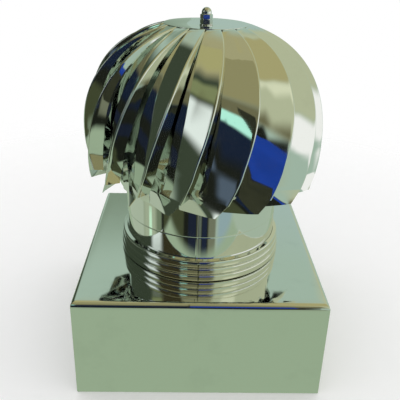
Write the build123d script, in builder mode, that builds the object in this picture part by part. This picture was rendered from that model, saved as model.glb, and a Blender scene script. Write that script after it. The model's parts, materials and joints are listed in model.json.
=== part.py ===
from build123d import *
from math import acos, asin, cos, degrees, hypot, radians, sin, sqrt
import os

# Spinning chimney cowl, in millimetres. The origin is the centre of the base box's open foot,
# +Z points up, and the front of the cowl faces -Y. An azimuth is counted from the front (-Y)
# towards +X, in degrees.

os.makedirs("parts", exist_ok=True)

# Base box
box_width = 300.0
box_height = 133.0
box_sheet = 1.0
fold_radius = 6.0
hem_height = 10.0
lap_width = 14.0
lap_sheet = 0.8
lap_end_gap = 9.0

# Neck and beaded collar
neck_radius = 99.0
neck_sheet = 0.8
neck_top_z = 250.0
spigot_radius = 97.5
spigot_length = 20.0
spigot_taper = 1.0
spigot_shoulder_z = 128.5
neck_lip = 3.0
collar_sheet = 0.8
collar_slip = 0.2
bead_radius = 4.6
bead_pitch = 9.2
bead_peaks = [106.5, 105.6, 104.7]
collar_flange = 18.0

# Spindle, bearings and the housing that carries them
spindle_radius = 4.0
bearing_radius = 11.0
bearing_width = 7.0
ball_radius = 1.98
ball_count = 7
race_clearance = 0.03
inner_ring_wall = 2.1
outer_ring_wall = 1.9
cage_wall = 1.1
cage_height = 5.2
pocket_clearance = 0.1
shield_sheet = 0.3
shield_gap = 0.25
housing_radius = 14.0
housing_core_radius = 9.6
ring_groove_depth = 0.6
retaining_ring = 1.0
retaining_bite = 1.5
retaining_mouth = 8.0
housing_overhang = 2.6
lower_bearing_z = 150.0
upper_bearing_z = 238.0

# Bridge bars that hold the housing in the neck
bridge_width = 38.0
bridge_sheet = 3.0
bridge_leg = 17.0
bridge_fit = 0.05
bridge_rivet_radius = 2.0
bridge_rivet_head = 3.6
bridge_rivet_dome = 1.6

# Fasteners on the spindle
nut_flats = 13.0
nut_height = 6.5
clamp_washer_radius = 6.0
clamp_washer = 1.2
crown_washer_radius = 12.0
crown_washer = 1.6
top_washer_radius = 8.0
top_washer = 1.2
top_nut_height = 5.5
dome_hex_height = 5.8
dome_radius = 5.9
dome_height = 13.6

# Outline of the vaned head: the path of a vane's outer crease
head_radius = 149.0
equator_z = 288.0
crown_z = 424.8
crown_power = 2.38
lower_reach = 174.5
tip_radius = 50.0

# Vanes
vane_count = 18
vane_sheet = 0.8
front_azimuth = -3.35
sweep_controls = (12.7, 11.4, 29.8)
tip_lean = 4.0
vane_lean = 40.0
tip_width = 16.0
vane_width = 70.0
tip_flange = 1.2
vane_flange = 17.0
flange_lean = 17.0
flange_growth = 1.3
tab_share = 0.23
bow_share = 0.64
bow = 0.01
foot_bow = 2.6
tab_bend = 2.0
root_radius = 38.0
root_width = 11.5
root_drop = 0.7
stations = 9

# Feet of the vanes, bottom ring and rivets
foot_top_z = 256.0
foot_outer_z = 240.0
ring_bottom_z = 232.0
ring_radius = 108.0
ring_sheet = 0.8
tab_gap = 0.1
slit_azimuth = 24.3
tab_width = 15.0
corner_cut = 2.0
foot_bow_share = 0.16
foot_end_bow = 1.0
rivet_radius = 1.6
rivet_head_radius = 3.2
rivet_head_height = 1.2
rivet_seat = 0.02
rivet_tail = 0.8
rivet_tail_radius = 2.4
rivet_hole_gap = 0.05
slit_width = 1.2
slit_height = 18.0

# Crown
cap_sheet = 0.8
cap_radius = 50.5
cap_gap = 0.05
cap_centre_radius = 9.0
cap_centre_drop = 2.15
backing_sheet = 1.5
backing_radius = 47.0

# Sizes that follow from the ones above
vane_pitch = 360 / vane_count
inner_half_width = box_width / 2 - box_sheet
plate_underside = box_height - box_sheet
collar_wall = neck_radius + collar_slip + collar_sheet
bead_heights = [box_height + 0.7 + bead_radius + bead_pitch * n for n in range(len(bead_peaks))]
collar_top = bead_heights[-1] + bead_radius + 0.4
neck_inner = neck_radius - neck_sheet
ball_circle = (spindle_radius + bearing_radius) / 2 + 0.15
tip_angle = degrees(asin((tip_radius / head_radius) ** (crown_power / 2)))
crown_rise = (crown_z - equator_z) / cos(radians(tip_angle)) ** (2 / crown_power)
foot_angle = degrees(acos((foot_top_z - equator_z) / lower_reach))
end_angle = degrees(acos((foot_outer_z - equator_z) / lower_reach))
tab_face = ring_radius + tab_gap + vane_sheet
tab_face_radius = hypot(tab_face, tab_width / 2)
rivet_z = (foot_top_z + ring_bottom_z) / 2
tail_seat = sqrt((ring_radius - ring_sheet) ** 2 - rivet_tail_radius**2)
cap_top = crown_z + cap_gap + cap_sheet
cap_centre_top = cap_top - cap_centre_drop
backing_top = cap_centre_top - cap_sheet


def keep(builder, label):
    """Label a finished piece and write it."""
    builder.part.label = label
    export_step(builder.part, f"parts/{label}.step")


def place(radius, azimuth, height):
    """A point at a radius, an azimuth from the front and a height."""
    turn = radians(azimuth)
    return Vector(radius * sin(turn), -radius * cos(turn), height)


# Base box: one sheet folded down on four sides, with a hem turned up inside its foot
with BuildPart() as base_box:
    Box(box_width, box_width, box_height, align=(Align.CENTER, Align.CENTER, Align.MIN))
    fillet(base_box.faces().sort_by(Axis.Z)[-1].edges(), fold_radius)
    with BuildPart(mode=Mode.PRIVATE) as box_inside:
        Box(
            2 * inner_half_width,
            2 * inner_half_width,
            plate_underside,
            align=(Align.CENTER, Align.CENTER, Align.MIN),
        )
        fillet(box_inside.faces().sort_by(Axis.Z)[-1].edges(), fold_radius - box_sheet)
    add(box_inside.part, mode=Mode.SUBTRACT)
    with BuildSketch():
        Rectangle(2 * inner_half_width, 2 * inner_half_width)
        Rectangle(2 * (inner_half_width - box_sheet), 2 * (inner_half_width - box_sheet), mode=Mode.SUBTRACT)
    extrude(amount=hem_height)
    with Locations((0, 0, plate_underside)):
        Cylinder(collar_wall + collar_slip, 4 * box_sheet, mode=Mode.SUBTRACT)
keep(base_box, "base_box")

# Corner laps: an angle strip welded inside each vertical fold
with BuildPart() as corner_laps:
    with BuildSketch(Plane.XY.offset(hem_height + lap_end_gap)):
        with Locations((inner_half_width, inner_half_width)):
            Rectangle(lap_width, lap_width, align=(Align.MAX, Align.MAX))
            with Locations((-lap_sheet, -lap_sheet)):
                Rectangle(lap_width, lap_width, align=(Align.MAX, Align.MAX), mode=Mode.SUBTRACT)
    corner_strip = extrude(amount=plate_underside - fold_radius - hem_height - 2 * lap_end_gap)
    mirror(corner_strip, about=Plane.YZ)
    mirror(corner_laps.part, about=Plane.XZ)
keep(corner_laps, "corner_laps")

# Collar: a ring with three rolled beads, flanged under the plate
with BuildPart() as collar:
    with BuildSketch(Plane.XZ):
        with Locations((collar_wall, plate_underside - box_sheet)):
            Rectangle(
                collar_wall,
                collar_top - plate_underside + box_sheet,
                align=(Align.MAX, Align.MIN),
            )
        for peak, height in zip(bead_peaks, bead_heights):
            with Locations((peak - bead_radius, height)):
                Circle(bead_radius)
        with Locations((collar_wall - collar_sheet, plate_underside - 2 * box_sheet)):
            Rectangle(2 * collar_wall, box_height, align=(Align.MAX, Align.MIN), mode=Mode.SUBTRACT)
        for peak, height in zip(bead_peaks, bead_heights):
            with Locations((peak - bead_radius, height)):
                RegularPolygon(bead_radius - collar_sheet, 8, mode=Mode.SUBTRACT)
        with Locations((collar_wall - collar_sheet, plate_underside)):
            Rectangle(collar_flange + collar_sheet, box_sheet, align=(Align.MIN, Align.MAX))
    revolve(axis=Axis.Z)
keep(collar, "collar")

# Neck tube: stands in the collar, drawn in to a spigot below the plate, with a lip at the top
with BuildPart() as neck_tube:
    with BuildSketch(Plane.XZ):
        with BuildLine():
            Polyline(
                (spigot_radius - neck_sheet, spigot_shoulder_z - spigot_length),
                (spigot_radius, spigot_shoulder_z - spigot_length),
                (spigot_radius, spigot_shoulder_z),
                (neck_radius, spigot_shoulder_z + spigot_taper),
                (neck_radius, neck_top_z),
                (neck_radius - neck_lip, neck_top_z),
                (neck_radius - neck_lip, neck_top_z - neck_sheet),
                (neck_inner, neck_top_z - neck_sheet),
                (neck_inner, spigot_shoulder_z + spigot_taper),
                (spigot_radius - neck_sheet, spigot_shoulder_z),
                close=True,
            )
        make_face()
    revolve(axis=Axis.Z)
    with Locations((0, 0, upper_bearing_z - bridge_leg / 2)):
        with PolarLocations(0, 2):
            Cylinder(
                bridge_rivet_radius,
                2 * neck_radius,
                rotation=(0, 90, 0),
                align=(Align.CENTER, Align.CENTER, Align.MIN),
                mode=Mode.SUBTRACT,
            )
keep(neck_tube, "neck_tube")


def bridge(top):
    """A flat bar across the neck, its two ends turned down against the wall."""
    with BuildPart() as bar:
        with Locations((0, 0, top)):
            Box(
                2 * neck_radius,
                bridge_width,
                bridge_sheet + bridge_leg,
                align=(Align.CENTER, Align.CENTER, Align.MAX),
            )
        with Locations((0, 0, top)):
            Cylinder(
                neck_inner - bridge_fit,
                4 * bridge_leg,
                mode=Mode.INTERSECT,
            )
        with Locations((0, 0, top - bridge_sheet)):
            Cylinder(
                neck_inner - bridge_fit - bridge_sheet,
                2 * bridge_leg,
                align=(Align.CENTER, Align.CENTER, Align.MAX),
                mode=Mode.SUBTRACT,
            )
        Cylinder(housing_radius, 4 * top, mode=Mode.SUBTRACT)
    return bar


lower_bridge = bridge(lower_bearing_z)
keep(lower_bridge, "lower_bridge")

upper_bridge = bridge(upper_bearing_z)
with upper_bridge:
    with Locations((0, 0, upper_bearing_z - bridge_leg / 2)):
        with PolarLocations(0, 2):
            Cylinder(
                bridge_rivet_radius,
                2 * neck_radius,
                rotation=(0, 90, 0),
                align=(Align.CENTER, Align.CENTER, Align.MIN),
                mode=Mode.SUBTRACT,
            )
keep(upper_bridge, "upper_bridge")

# Rivets of the upper bridge: a shank through leg and neck wall, a domed head outside
shank_start = sqrt((neck_inner - bridge_fit - bridge_sheet) ** 2 - bridge_rivet_head**2) - bridge_rivet_dome
with BuildPart() as bridge_rivets:
    for side in (0, 180):
        with Locations(
            Plane(origin=(0, 0, upper_bearing_z - bridge_leg / 2), z_dir=place(1, 90 + side, 0))
        ):
            with Locations((0, 0, shank_start)):
                Cylinder(
                    bridge_rivet_radius,
                    neck_radius + bridge_fit - shank_start,
                    align=(Align.CENTER, Align.CENTER, Align.MIN),
                )
                Cylinder(
                    bridge_rivet_head,
                    bridge_rivet_dome,
                    align=(Align.CENTER, Align.CENTER, Align.MIN),
                )
            with Locations((0, 0, neck_radius + bridge_fit)):
                Cone(
                    bridge_rivet_head,
                    0.5 * bridge_rivet_head,
                    bridge_rivet_dome,
                    align=(Align.CENTER, Align.CENTER, Align.MIN),
                )
keep(bridge_rivets, "bridge_rivets")

# Bearing housing: a tube through both bridges, with a seat and a ring groove at each end
lower_seat = lower_bearing_z + bearing_width / 2
upper_seat = upper_bearing_z - bearing_width / 2
housing_bottom = lower_bearing_z - bearing_width / 2 - retaining_ring - housing_overhang
housing_top = upper_bearing_z + bearing_width / 2 + retaining_ring + housing_overhang
with BuildPart() as bearing_housing:
    with BuildSketch(Plane.XZ):
        with Locations((housing_core_radius, housing_bottom)):
            Rectangle(
                housing_radius - housing_core_radius,
                housing_top - housing_bottom,
                align=(Align.MIN, Align.MIN),
            )
        with Locations((0, lower_seat)):
            Rectangle(bearing_radius, lower_seat, align=(Align.MIN, Align.MAX), mode=Mode.SUBTRACT)
        with Locations((0, upper_seat)):
            Rectangle(bearing_radius, upper_seat, align=(Align.MIN, Align.MIN), mode=Mode.SUBTRACT)
        with Locations((0, lower_seat - bearing_width)):
            Rectangle(
                bearing_radius + ring_groove_depth,
                retaining_ring + 0.1,
                align=(Align.MIN, Align.MAX),
                mode=Mode.SUBTRACT,
            )
        with Locations((0, upper_seat + bearing_width)):
            Rectangle(
                bearing_radius + ring_groove_depth,
                retaining_ring + 0.1,
                align=(Align.MIN, Align.MIN),
                mode=Mode.SUBTRACT,
            )
    revolve(axis=Axis.Z)
keep(bearing_housing, "bearing_housing")


def retaining(height):
    """An open spring ring that sits in a groove of the housing, from a height upwards."""
    with BuildPart() as ring:
        with BuildSketch(Plane.XY.offset(height)):
            Circle(bearing_radius + ring_groove_depth - 0.05)
            Circle(bearing_radius - retaining_bite, mode=Mode.SUBTRACT)
            with Locations((0, bearing_radius)):
                Rectangle(retaining_mouth, bearing_radius, mode=Mode.SUBTRACT)
        extrude(amount=retaining_ring)
    return ring


keep(retaining(lower_seat - bearing_width - retaining_ring - 0.05), "lower_retaining_ring")
keep(retaining(upper_seat + bearing_width + 0.05), "upper_retaining_ring")


def bearing(middle, name):
    """The five pieces of a sealed ball bearing whose mid plane is at a height."""
    race_radius = ball_radius + race_clearance
    low = middle - bearing_width / 2
    with BuildPart() as inner_ring:
        with BuildSketch(Plane.XZ):
            with Locations((spindle_radius, low)):
                Rectangle(inner_ring_wall, bearing_width, align=(Align.MIN, Align.MIN))
            with Locations((ball_circle, middle)):
                Circle(race_radius, mode=Mode.SUBTRACT)
        revolve(axis=Axis.Z)
    keep(inner_ring, f"{name}_inner_ring")
    with BuildPart() as outer_ring:
        with BuildSketch(Plane.XZ):
            with Locations((bearing_radius, low)):
                Rectangle(outer_ring_wall, bearing_width, align=(Align.MAX, Align.MIN))
            with Locations((ball_circle, middle)):
                Circle(race_radius, mode=Mode.SUBTRACT)
        revolve(axis=Axis.Z)
    keep(outer_ring, f"{name}_outer_ring")
    with BuildPart() as balls:
        with Locations((0, 0, middle)):
            with PolarLocations(ball_circle, ball_count):
                Sphere(ball_radius)
    keep(balls, f"{name}_balls")
    with BuildPart() as cage:
        with BuildSketch(Plane.XY.offset(middle - cage_height / 2)):
            Circle(ball_circle + cage_wall / 2)
            Circle(ball_circle - cage_wall / 2, mode=Mode.SUBTRACT)
        extrude(amount=cage_height)
        with Locations((0, 0, middle)):
            with PolarLocations(ball_circle, ball_count):
                Cylinder(
                    ball_radius + pocket_clearance,
                    3 * cage_wall,
                    rotation=(0, 90, 0),
                    mode=Mode.SUBTRACT,
                )
    keep(cage, f"{name}_cage")
    with BuildPart() as shields:
        for side in (low + shield_gap, low + bearing_width - shield_gap - shield_sheet):
            with BuildSketch(Plane.XY.offset(side)):
                Circle(bearing_radius - outer_ring_wall)
                Circle(spindle_radius + inner_ring_wall + shield_gap, mode=Mode.SUBTRACT)
            extrude(amount=shield_sheet)
    keep(shields, f"{name}_shields")


bearing(lower_bearing_z, "lower_bearing")
bearing(upper_bearing_z, "upper_bearing")


def hex_nut(bottom, height):
    """A hexagon nut on the spindle, its corners broken by a 30 degree chamfer."""
    with BuildPart() as nut:
        with BuildSketch(Plane.XY.offset(bottom)):
            RegularPolygon(nut_flats / 2, 6, major_radius=False)
            Circle(spindle_radius, mode=Mode.SUBTRACT)
        extrude(amount=height)
        with BuildSketch(Plane.XZ):
            with BuildLine():
                Polyline(
                    (0, bottom),
                    (nut_flats / 2, bottom),
                    (nut_flats / 2 + 1.2, bottom + 0.6),
                    (nut_flats / 2 + 1.2, bottom + height - 0.6),
                    (nut_flats / 2, bottom + height),
                    (0, bottom + height),
                    close=True,
                )
            make_face()
        revolve(axis=Axis.Z, mode=Mode.INTERSECT)
    return nut


def washer(bottom, radius, height):
    """A flat washer on the spindle."""
    with BuildPart() as disc:
        with BuildSketch(Plane.XY.offset(bottom)):
            Circle(radius)
            Circle(spindle_radius, mode=Mode.SUBTRACT)
        extrude(amount=height)
    return disc


# Clamp of the inner rings on the spindle: spacer between them, washer and nut outside each
with BuildPart() as spacer_tube:
    with BuildSketch(Plane.XY.offset(lower_seat)):
        Circle(spindle_radius + inner_ring_wall - 0.4)
        Circle(spindle_radius, mode=Mode.SUBTRACT)
    extrude(amount=upper_seat - lower_seat)
keep(spacer_tube, "spacer_tube")

lower_clamp = lower_seat - bearing_width - clamp_washer
upper_clamp = upper_seat + bearing_width
keep(washer(lower_clamp, clamp_washer_radius, clamp_washer), "lower_clamp_washer")
keep(hex_nut(lower_clamp - nut_height, nut_height), "lower_lock_nut")
keep(washer(upper_clamp, clamp_washer_radius, clamp_washer), "upper_clamp_washer")
keep(hex_nut(upper_clamp + clamp_washer, nut_height), "upper_lock_nut")

# Crown clamp: nut, washer and backing disc under the vanes, cap, washer and nuts above
crown_nut_bottom = backing_top - backing_sheet - crown_washer - nut_height
keep(hex_nut(crown_nut_bottom, nut_height), "crown_nut")
keep(washer(crown_nut_bottom + nut_height, crown_washer_radius, crown_washer), "crown_washer")
keep(washer(backing_top - backing_sheet, backing_radius, backing_sheet), "backing_disc")
keep(washer(cap_centre_top, top_washer_radius, top_washer), "top_washer")
keep(hex_nut(cap_centre_top + top_washer, top_nut_height), "top_nut")

# Crown cap: a thin disc, very slightly dished towards the spindle
with BuildPart() as crown_cap:
    with BuildSketch(Plane.XZ):
        with BuildLine():
            Polyline(
                (spindle_radius, cap_centre_top),
                (cap_centre_radius, cap_centre_top),
                (cap_radius, cap_top),
                (cap_radius, cap_top - cap_sheet),
                (cap_centre_radius, cap_centre_top - cap_sheet),
                (spindle_radius, cap_centre_top - cap_sheet),
                close=True,
            )
        make_face()
    revolve(axis=Axis.Z)
keep(crown_cap, "crown_cap")

# Acorn nut: hexagon, short neck and round dome, bored blind for the spindle's end
acorn_bottom = cap_centre_top + top_washer + top_nut_height
spindle_top = acorn_bottom + dome_height - dome_radius
with BuildPart() as acorn_nut:
    with BuildSketch(Plane.XY.offset(acorn_bottom)):
        RegularPolygon(nut_flats / 2, 6, major_radius=False)
    extrude(amount=dome_hex_height)
    with BuildSketch(Plane.XZ):
        with BuildLine():
            Polyline(
                (0, acorn_bottom + 1),
                (dome_radius, acorn_bottom + 1),
                (dome_radius, acorn_bottom + dome_height - dome_radius),
            )
            RadiusArc(
                (dome_radius, acorn_bottom + dome_height - dome_radius),
                (0, acorn_bottom + dome_height),
                -dome_radius,
            )
            Line((0, acorn_bottom + dome_height), (0, acorn_bottom + 1))
        make_face()
    revolve(axis=Axis.Z)
    with Locations((0, 0, acorn_bottom)):
        Cylinder(
            spindle_radius,
            spindle_top - acorn_bottom + 0.3,
            align=(Align.CENTER, Align.CENTER, Align.MIN),
            mode=Mode.SUBTRACT,
        )
keep(acorn_nut, "acorn_nut")

# Spindle
spindle_bottom = lower_clamp - nut_height - 3
with BuildPart() as spindle:
    with Locations((0, 0, spindle_bottom)):
        Cylinder(
            spindle_radius,
            spindle_top - spindle_bottom,
            align=(Align.CENTER, Align.CENTER, Align.MIN),
        )
    chamfer(spindle.edges().filter_by(GeomType.CIRCLE), 0.6)
keep(spindle, "spindle")


def crease(angle):
    """Radius and height of a vane's outer crease at an angle down from the crown."""
    turn = radians(angle)
    if angle <= 90:
        power = 2 / crown_power
        return head_radius * sin(turn) ** power, equator_z + crown_rise * max(cos(turn), 0) ** power
    return head_radius * sin(turn), equator_z + lower_reach * cos(turn)


def sweep(angle):
    """How far a vane has swung back at an angle, as a cubic curve through three controls."""
    share = (angle - tip_angle) / (end_angle - tip_angle)
    rest = 1 - share
    first, second, last = sweep_controls
    return -(3 * share * rest**2 * first + 3 * share**2 * rest * second + share**3 * last)


def section_plane(angle):
    """Plane across a vane: x along the head's circle, y outwards, origin on the crease."""
    radius, height = crease(angle)
    azimuth = radians(front_azimuth + sweep(angle))
    outward, upward = 1.0, 0.0
    if angle < 90:
        outward = (radius / head_radius) ** (crown_power - 1) / head_radius
        upward = ((height - equator_z) / crown_rise) ** (crown_power - 1) / crown_rise
    length = hypot(outward, upward)
    outward, upward = outward / length, upward / length
    return Plane(
        origin=place(radius, degrees(azimuth), height),
        x_dir=(cos(azimuth), sin(azimuth), 0),
        z_dir=(upward * sin(azimuth), -upward * cos(azimuth), -outward),
    )


def mitre(point, first, second):
    """Inner corner of a folded sheet, from its outer corner and the two inward normals."""
    both = first + second
    return point + both * (vane_sheet / (1 + first.dot(second)))


def sheet_outline(points):
    """Closed outline of a folded sheet whose outer face runs through the points."""
    normals = []
    for start, end in zip(points, points[1:]):
        along = (end - start).normalized()
        normals.append(Vector(along.Y, -along.X))
    inner = [points[0] + normals[0] * vane_sheet]
    for corner in range(1, len(points) - 1):
        inner.append(mitre(points[corner], normals[corner - 1], normals[corner]))
    inner.append(points[-1] + normals[-1] * vane_sheet)
    return points + inner[::-1]


def foot_points():
    """Tab end and slit at the top of a foot, seen from the crease there."""
    radius = crease(foot_angle)[0]
    tab_end = radians(slit_azimuth + degrees(tab_width / tab_face_radius))
    slit = radians(slit_azimuth)
    return (
        Vector(-tab_face_radius * sin(tab_end), tab_face_radius * cos(tab_end) - radius),
        Vector(-tab_face_radius * sin(slit), tab_face_radius * cos(slit) - radius),
    )


def vane_points(angle):
    """Outer face of a vane at an angle: hidden end, tab line, bow line, crease."""
    share = min(1, (angle - tip_angle) / (90 - tip_angle))
    lean = tip_lean + (vane_lean - tip_lean) * share**0.55
    width = tip_width + (vane_width - tip_width) * share**0.7
    return face_points(lean, width, angle)


def face_points(lean, width, angle):
    """Outer face for a lean and a width, drawn towards the foot's shape below the equator."""
    slit = Vector(-cos(radians(lean)), -sin(radians(lean))) * width * (1 - tab_share)
    turn = radians(lean + tab_bend)
    end = slit + Vector(-cos(turn), -sin(turn)) * width * tab_share
    rise = bow * width
    if angle > 90:
        blend = (equator_z - crease(angle)[1]) / (equator_z - foot_top_z)
        foot_end, foot_slit = foot_points()
        end = end * (1 - blend) + foot_end * blend
        slit = slit * (1 - blend) + foot_slit * blend
        rise = rise * (1 - blend) + foot_bow * blend
    along = slit.normalized()
    return [end, slit, slit * bow_share + Vector(along.Y, -along.X) * rise, Vector(0, 0)]


def outline_sketch(plane, points):
    """Sketch on a plane of a folded sheet whose outer face runs through the points."""
    with BuildSketch(plane) as section:
        with BuildLine():
            Polyline(*[(p.X, p.Y) for p in sheet_outline(points)], close=True)
        make_face()
    return section.sketch


def flange_end(depth):
    """Free edge of a vane's flange of a given depth."""
    return Vector(depth * sin(radians(flange_lean)), -depth * cos(radians(flange_lean)))


def vane_section(angle, flanged=True):
    """Sketch of a vane across its length at an angle."""
    points = vane_points(angle)
    if flanged:
        share = min(1, (angle - tip_angle) / (0.75 * (90 - tip_angle)))
        points.append(flange_end(tip_flange + (vane_flange - tip_flange) * share**flange_growth))
    return outline_sketch(section_plane(angle), points)


def root_section():
    """Sketch of a vane's tongue at its inner end, under the crown cap."""
    azimuth = radians(front_azimuth)
    plane = Plane(
        origin=place(root_radius, front_azimuth, crown_z - root_drop),
        x_dir=(cos(azimuth), sin(azimuth), 0),
        z_dir=(sin(azimuth), -cos(azimuth), 0),
    )
    return outline_sketch(plane, face_points(0, root_width, 0) + [flange_end(tip_flange)])


def foot_section():
    """Sketch of a vane's lower edge: level on the ring, rising outwards to the corner."""
    top = section_plane(foot_angle)
    end, slit = [top.from_local_coords((p.X, p.Y, 0)) for p in foot_points()]
    slit = Vector(slit.X, slit.Y, ring_bottom_z)
    corner_azimuth = front_azimuth + sweep(end_angle) - corner_cut
    corner = place(crease(end_angle)[0], corner_azimuth, foot_outer_z)
    along = (corner - slit).normalized()
    level = Vector(along.X, along.Y, 0).normalized()
    across = Vector(level.Y, -level.X, 0)
    reach = (corner - slit).length
    offset = Vector(end.X - slit.X, end.Y - slit.Y, 0)
    points = [
        Vector(offset.dot(level) / along.dot(level), offset.dot(across)),
        Vector(0, 0),
        Vector(reach * (1 - foot_bow_share), foot_end_bow),
        Vector(reach, 0),
    ]
    return outline_sketch(Plane(origin=slit, x_dir=along, z_dir=along.cross(across)), points)


# One vane: tongue, swept blade with its flange, and foot, then a hole for its rivet
upper_angles = [tip_angle + (90 - tip_angle) * n / (stations - 1) for n in range(stations)]
lower_angles = [(90 + foot_angle) / 2, foot_angle]
blade_sections = [vane_section(angle) for angle in upper_angles + lower_angles]
slit_line = front_azimuth + sweep(foot_angle) - slit_azimuth
rivet_azimuth = slit_line - degrees(asin(tab_width / 2 / tab_face_radius))
with BuildPart() as vane:
    loft(sections=blade_sections)
    loft(sections=[root_section(), blade_sections[0]], ruled=True)
    loft(sections=[vane_section(foot_angle, flanged=False), foot_section()], ruled=True)
    with Locations((0, 0, ring_bottom_z)):
        Cylinder(2 * ring_radius, 20, align=(Align.CENTER, Align.CENTER, Align.MAX), mode=Mode.SUBTRACT)
    with Locations(Plane(origin=(0, 0, rivet_z), z_dir=place(1, rivet_azimuth, 0))):
        Cylinder(
            rivet_radius + rivet_hole_gap,
            tab_face_radius + 5,
            align=(Align.CENTER, Align.CENTER, Align.MIN),
            mode=Mode.SUBTRACT,
        )
    with Locations(Plane(origin=place(ring_radius, slit_line, ring_bottom_z), z_dir=place(1, slit_line, 0))):
        Box(slit_width, 2 * slit_height, 8, mode=Mode.SUBTRACT)

for number in range(vane_count):
    turned_vane = vane.part.rotate(Axis.Z, vane_pitch * number)
    turned_vane.label = f"vane_{number + 1:02d}"
    export_step(turned_vane, f"parts/{turned_vane.label}.step")

# Bottom ring: a plain band inside the feet, with a hole for each rivet
rivet_turns = [rivet_azimuth + vane_pitch * number for number in range(vane_count)]
with BuildPart() as bottom_ring:
    with BuildSketch(Plane.XY.offset(ring_bottom_z)):
        Circle(ring_radius)
        Circle(ring_radius - ring_sheet, mode=Mode.SUBTRACT)
    extrude(amount=foot_top_z - ring_bottom_z)
    with Locations(*[Plane(origin=(0, 0, rivet_z), z_dir=place(1, turn, 0)) for turn in rivet_turns]):
        Cylinder(
            rivet_radius + rivet_hole_gap,
            ring_radius + 5,
            align=(Align.CENTER, Align.CENTER, Align.MIN),
            mode=Mode.SUBTRACT,
        )
keep(bottom_ring, "bottom_ring")

# Vane rivets: shank through tab and ring, domed head outside, flat tail inside
with BuildPart() as vane_rivets:
    with Locations(*[Plane(origin=(0, 0, rivet_z), z_dir=place(1, turn, 0)) for turn in rivet_turns]):
        with Locations((0, 0, tail_seat - rivet_tail)):
            Cylinder(
                rivet_radius,
                tab_face + rivet_seat - tail_seat + rivet_tail,
                align=(Align.CENTER, Align.CENTER, Align.MIN),
            )
            Cylinder(rivet_tail_radius, rivet_tail, align=(Align.CENTER, Align.CENTER, Align.MIN))
        with Locations((0, 0, tab_face + rivet_seat)):
            Cone(
                rivet_head_radius,
                0.5 * rivet_head_radius,
                rivet_head_height,
                align=(Align.CENTER, Align.CENTER, Align.MIN),
            )
keep(vane_rivets, "vane_rivets")
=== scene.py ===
import json
import math

import bpy
import numpy as np
from mathutils import Matrix, Vector


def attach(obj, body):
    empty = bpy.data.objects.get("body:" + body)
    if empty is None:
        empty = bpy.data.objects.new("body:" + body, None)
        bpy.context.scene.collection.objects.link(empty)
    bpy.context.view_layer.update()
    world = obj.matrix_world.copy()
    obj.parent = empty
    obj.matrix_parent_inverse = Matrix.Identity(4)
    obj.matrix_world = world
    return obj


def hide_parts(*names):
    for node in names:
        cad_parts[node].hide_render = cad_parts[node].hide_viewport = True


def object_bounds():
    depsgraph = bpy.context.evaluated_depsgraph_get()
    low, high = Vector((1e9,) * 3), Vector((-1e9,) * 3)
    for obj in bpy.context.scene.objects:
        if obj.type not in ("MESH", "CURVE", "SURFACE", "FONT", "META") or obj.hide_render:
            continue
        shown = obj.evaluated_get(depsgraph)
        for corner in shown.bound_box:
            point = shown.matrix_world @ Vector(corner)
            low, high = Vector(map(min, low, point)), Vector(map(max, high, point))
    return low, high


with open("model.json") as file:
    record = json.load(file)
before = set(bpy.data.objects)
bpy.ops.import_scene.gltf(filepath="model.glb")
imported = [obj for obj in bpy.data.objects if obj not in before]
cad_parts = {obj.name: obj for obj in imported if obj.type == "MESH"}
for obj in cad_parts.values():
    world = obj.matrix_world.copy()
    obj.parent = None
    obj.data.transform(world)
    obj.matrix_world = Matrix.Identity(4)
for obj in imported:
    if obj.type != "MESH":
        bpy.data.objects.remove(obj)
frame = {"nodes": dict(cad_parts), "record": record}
cad_low, cad_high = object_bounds()

# Sizes of the visible sheet metal as in the part's source: lengths in metres, angles in degrees
MM = 0.001
BOX_HALF, BOX_TOP, BOX_SHEET = 150 * MM, 133 * MM, 1 * MM
BOX_FOLD, BOX_CORNER, BOX_HEM = 6 * MM, 1.2 * MM, 10 * MM
PLATE_HOLE = 100.2 * MM
NECK_RADIUS, NECK_SHEET, NECK_TOP, NECK_FOOT = 99 * MM, 0.8 * MM, 250 * MM, 108.5 * MM
SPIGOT_RADIUS, SPIGOT_TOP, SPIGOT_TAPER = 97.5 * MM, 128.5 * MM, 1 * MM
NECK_LIP, NECK_SEAM_Z, NECK_WELD = 3 * MM, 191 * MM, -3.5
COLLAR_INNER, COLLAR_SHEET, COLLAR_FLANGE = 99.2 * MM, 0.8 * MM, 18 * MM
BEAD_RADIUS, BEAD_PITCH, BEAD_POWER = 4.6 * MM, 9.2 * MM, 4.5
BEAD_PEAKS = (106.5 * MM, 105.6 * MM, 104.7 * MM)
BEAD_SPAN, BEAD_STEPS = 78.0, 21
BEAD_FIRST = BOX_TOP + 0.7 * MM + BEAD_RADIUS

HEAD_RADIUS, EQUATOR_Z, CROWN_Z = 149 * MM, 288 * MM, 424.8 * MM
CROWN_POWER, LOWER_REACH, TIP_RADIUS = 2.38, 174.5 * MM, 50 * MM
VANES, VANE_SHEET, FRONT_AZIMUTH = 18, 0.8 * MM, -3.35
SWEEP = (12.7, 11.4, 29.8)
TIP_LEAN, VANE_LEAN, FLANGE_LEAN = 4.0, 40.0, 17.0
TIP_WIDTH, VANE_WIDTH = 16 * MM, 70 * MM
TIP_FLANGE, VANE_FLANGE, FLANGE_GROWTH = 1.2 * MM, 17 * MM, 1.3
LEAN_POWER, WIDTH_POWER, FLANGE_SHARE = 0.55, 0.7, 0.75
TAB_SHARE, TAB_BEND, BOW_SHARE, BOW, FOOT_BOW = 0.23, 2.0, 0.64, 0.01, 2.6 * MM
ROOT_RADIUS, ROOT_WIDTH, ROOT_DROP = 38 * MM, 11.5 * MM, 0.7 * MM
FOOT_TOP, FOOT_OUTER, RING_BOTTOM = 256 * MM, 240 * MM, 232 * MM
RING_RADIUS, RING_SHEET, TAB_GAP = 108 * MM, 0.8 * MM, 0.1 * MM
SLIT_AZIMUTH, TAB_WIDTH, CORNER_CUT = 24.3, 15 * MM, 2.0
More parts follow.
